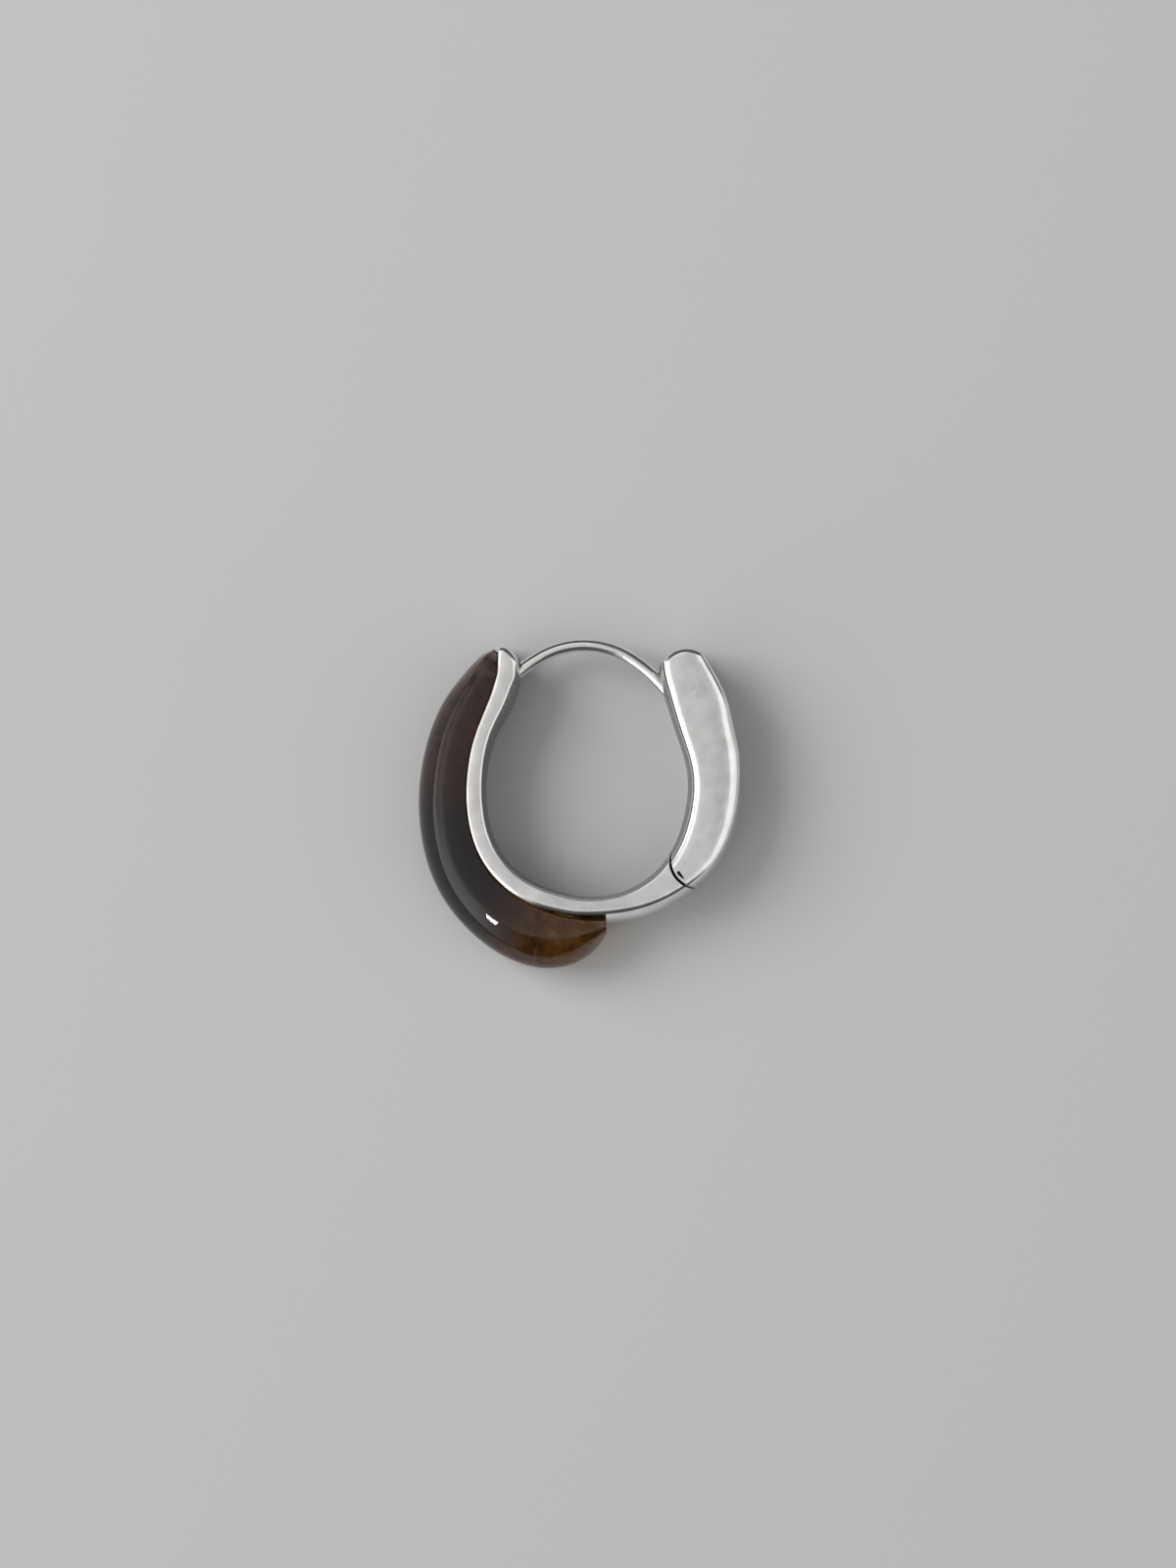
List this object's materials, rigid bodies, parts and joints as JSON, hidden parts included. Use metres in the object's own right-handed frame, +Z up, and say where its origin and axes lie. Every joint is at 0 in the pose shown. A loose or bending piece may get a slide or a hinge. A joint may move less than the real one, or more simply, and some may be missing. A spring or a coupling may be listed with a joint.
{
  "type": "hoop earring",
  "caption": "Chunky polished hoop earring with a hinged arm, a curved ear wire that closes into a catch, and a domed brown stone crescent.",
  "frame": {"origin": "middle of the earring's outline seen from above, on the surface it lies on", "axes": "+Z up, along the hoop's own axis; +Y from the stone's foot towards the ear wire's arch; +X from the stone side towards the hinged arm"},
  "size_m": [0.0196, 0.02, 0.0046],
  "materials": {
    "silver": "mirror polish with fine wear scratches",
    "brown_stone": "polished, slightly translucent"
  },
  "bodies": {
    "hoop": {"fixed_hoop": "silver", "stone": "brown_stone"},
    "arm": {"hinged_arm": "silver", "hinge_pin": "silver"}
  },
  "joints": [
    {"name": "arm_hinge", "type": "hinge", "parent": "hoop", "child": "arm", "pos_m": [0.00708, -0.00337, 0.0023], "axis": [0, 0, -1], "range_deg": [0, 45]}
  ]
}
